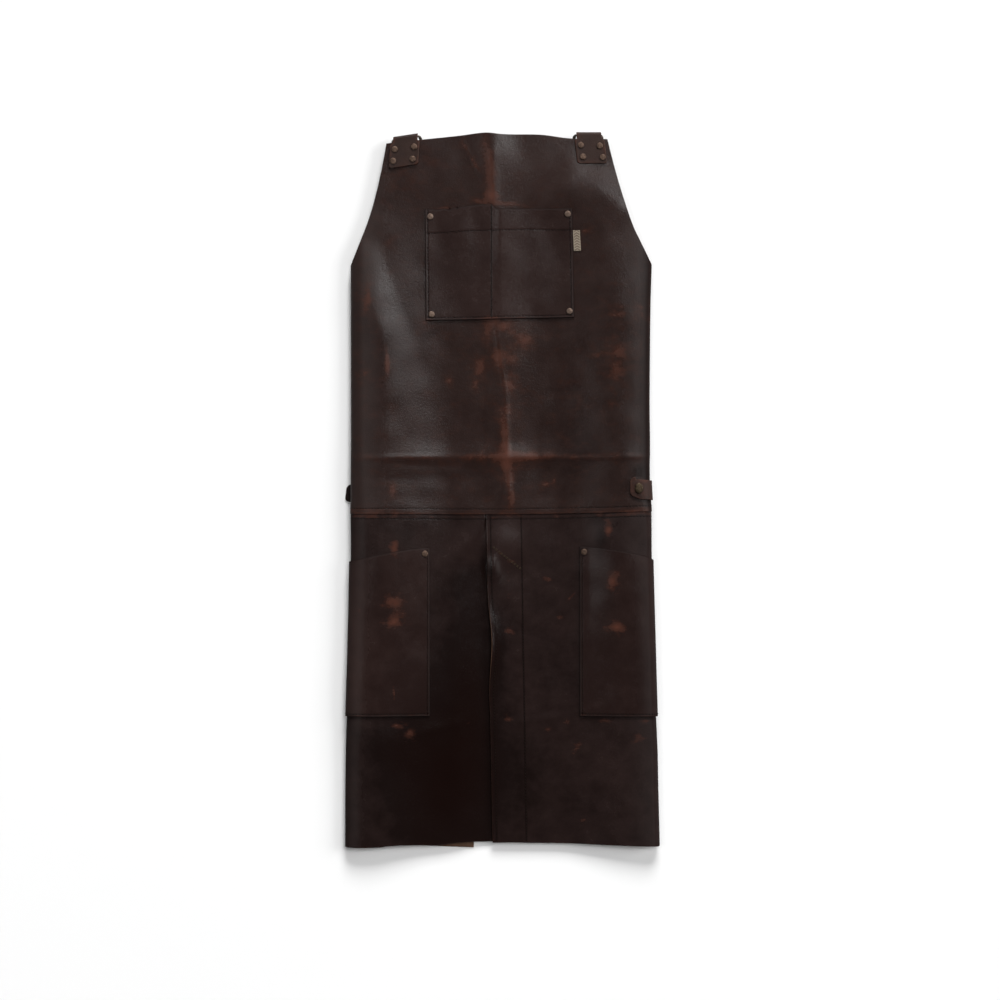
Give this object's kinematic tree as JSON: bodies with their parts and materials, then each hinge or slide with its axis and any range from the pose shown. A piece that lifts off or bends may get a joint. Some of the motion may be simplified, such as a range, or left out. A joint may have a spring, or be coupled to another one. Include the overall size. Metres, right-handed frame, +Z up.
{
  "type": "leather work apron",
  "caption": "Split-leg leather work apron lying face up with its sides folded under, with chest and hip pockets, riveted shoulder tabs and strap rings.",
  "frame": {"origin": "on the floor under the middle of the lying apron, the centre of the bounding box's bottom face", "axes": "+Y from the hem towards the bib's top edge, +X to the right of the front as seen, +Z up out of the front"},
  "size_m": [0.4318, 0.9785, 0.0297],
  "materials": {
    "bib_leather": "dark waxed pull-up leather",
    "leg_leather": "dark waxed pull-up leather",
    "pocket_leather": "dark waxed pull-up leather",
    "tab_leather": "dark waxed pull-up leather",
    "brass": "antique",
    "dark_steel": "dark antique plate",
    "woven_tape": "woven twill"
  },
  "bodies": {
    "apron": {"bib": "bib_leather", "chest_pocket": "pocket_leather", "chest_rivet_1": "brass", "chest_rivet_2": "brass", "chest_rivet_3": "brass", "chest_rivet_4": "brass", "hip_pocket_left": "pocket_leather", "hip_pocket_right": "pocket_leather", "hip_rivet_left": "brass", "hip_rivet_right": "brass", "label": "woven_tape", "leg_left": "leg_leather", "leg_right": "leg_leather", "shoulder_rivet_left_1": "brass", "shoulder_rivet_left_2": "brass", "shoulder_rivet_left_3": "brass", "shoulder_rivet_left_4": "brass", "shoulder_rivet_right_1": "brass", "shoulder_rivet_right_2": "brass", "shoulder_rivet_right_3": "brass", "shoulder_rivet_right_4": "brass", "shoulder_tab_left": "tab_leather", "shoulder_tab_right": "tab_leather", "side_stud_right": "brass", "side_tab_left": "tab_leather", "side_tab_right": "tab_leather", "slit_facing": "leg_leather"},
    "ring_left": {"strap_ring_left": "dark_steel"},
    "ring_right": {"strap_ring_right": "dark_steel"}
  },
  "joints": [
    {"name": "ring_left_swing", "type": "hinge", "parent": "apron", "child": "ring_left", "pos_m": [-0.133, 0.4814, 0.0121], "axis": [0.989, 0.1478, 0], "range_deg": [0, 295]},
    {"name": "ring_right_swing", "type": "hinge", "parent": "apron", "child": "ring_right", "pos_m": [0.119, 0.4854, 0.0121], "axis": [1, 0, 0], "range_deg": [0, 295]}
  ]
}
